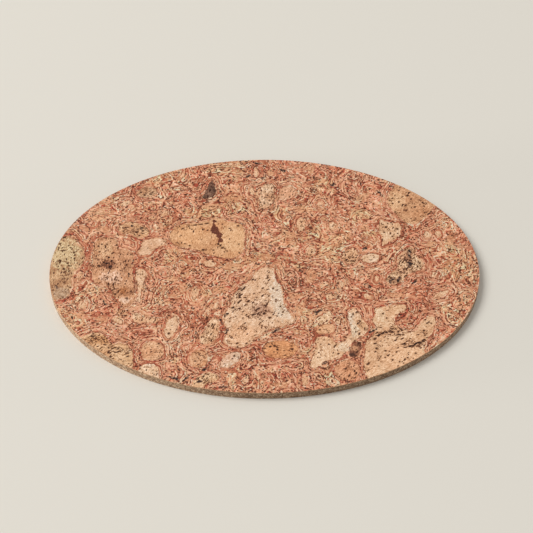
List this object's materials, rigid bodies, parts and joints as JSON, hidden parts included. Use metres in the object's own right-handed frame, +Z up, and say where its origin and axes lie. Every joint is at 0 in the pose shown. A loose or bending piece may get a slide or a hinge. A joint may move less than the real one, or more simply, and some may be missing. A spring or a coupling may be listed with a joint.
{
  "type": "placemat",
  "caption": "Oval cork placemat: an agglomerated-cork board faced with a burl veneer of bark chips set in pressed shavings; it protects a table under a plate.",
  "frame": {"origin": "centre of the underside, on the surface that the mat lies on", "axes": "+X along the oval's length, +Y along its width away from the viewer, +Z up out of the veneer"},
  "size_m": [0.4, 0.3, 0.008],
  "materials": {
    "core_cork": "raw fine-grained agglomerated cork, matt",
    "glue": "dry clear-brown glue",
    "shavings": "pressed and sanded cork shavings, satin-matt",
    "pale_cork": "sanded pale cork, satin-matt",
    "tan_cork": "sanded tan cork, satin-matt",
    "dark_bark": "sanded outer bark, matt"
  },
  "bodies": {
    "root": {"core_board": "core_cork", "glue_film": "glue", "veneer_ground": "shavings", "front_chip": "pale_cork", "right_front_chip": "pale_cork", "elbow_chip": "pale_cork", "teardrop_chip": "pale_cork", "pale_pink_chip": "pale_cork", "upper_centre_chip": "pale_cork", "right_pale_chip": "pale_cork", "cream_chip": "pale_cork", "lower_left_chip": "pale_cork", "pale_round_chip": "pale_cork", "outlined_chip": "pale_cork", "pale_chips": "pale_cork", "cracked_chip": "tan_cork", "knee_chip": "tan_cork", "left_rim_chip": "tan_cork", "stained_chip": "tan_cork", "dotted_chip": "tan_cork", "upper_left_chip": "tan_cork", "pinkish_chip": "tan_cork", "upper_right_rim_chip": "tan_cork", "crusted_chip": "tan_cork", "speckled_chip": "tan_cork", "lower_left_rim_chip": "tan_cork", "lower_left_tan_chip": "tan_cork", "front_left_rim_chip": "tan_cork", "yellow_rim_chip": "tan_cork", "tan_front_chip": "tan_cork", "ring_chip": "tan_cork", "orange_chip": "tan_cork", "swirl_chip": "tan_cork", "tan_chips": "tan_cork", "crack_bark": "dark_bark", "grey_bark_chip": "dark_bark", "bark_wedge": "dark_bark", "bark_flecks": "dark_bark"}
  },
  "joints": []
}
